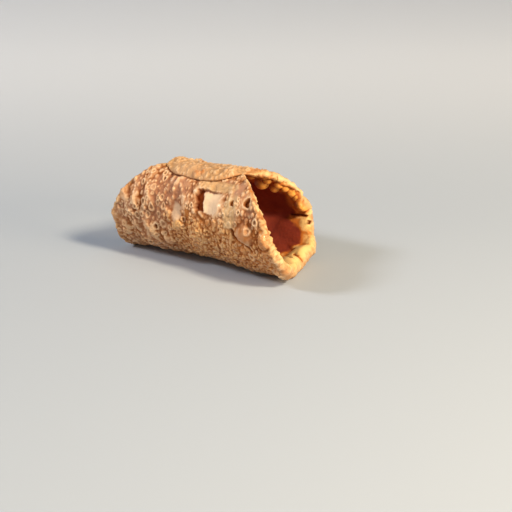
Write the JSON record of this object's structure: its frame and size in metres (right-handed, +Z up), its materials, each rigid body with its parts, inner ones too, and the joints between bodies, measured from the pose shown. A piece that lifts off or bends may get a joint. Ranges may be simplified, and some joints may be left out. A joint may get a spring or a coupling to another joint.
{
  "type": "cannoli shell",
  "caption": "Empty fried pastry tube: one bubbled sheet of dough rolled round, its far end lapped over the near end, open at both ends.",
  "frame": {"origin": "middle of the bounding box at its bottom, on the surface that the shell rests on", "axes": "+X along the tube towards the wider mouth, +Y away from the side that the lap ends on, +Z up"},
  "size_m": [0.0843, 0.0508, 0.0409],
  "materials": {
    "crust": "fried dough, golden to reddish brown, soft oily sheen over fine blisters"
  },
  "bodies": {
    "root": {"shell": "crust"}
  },
  "joints": []
}
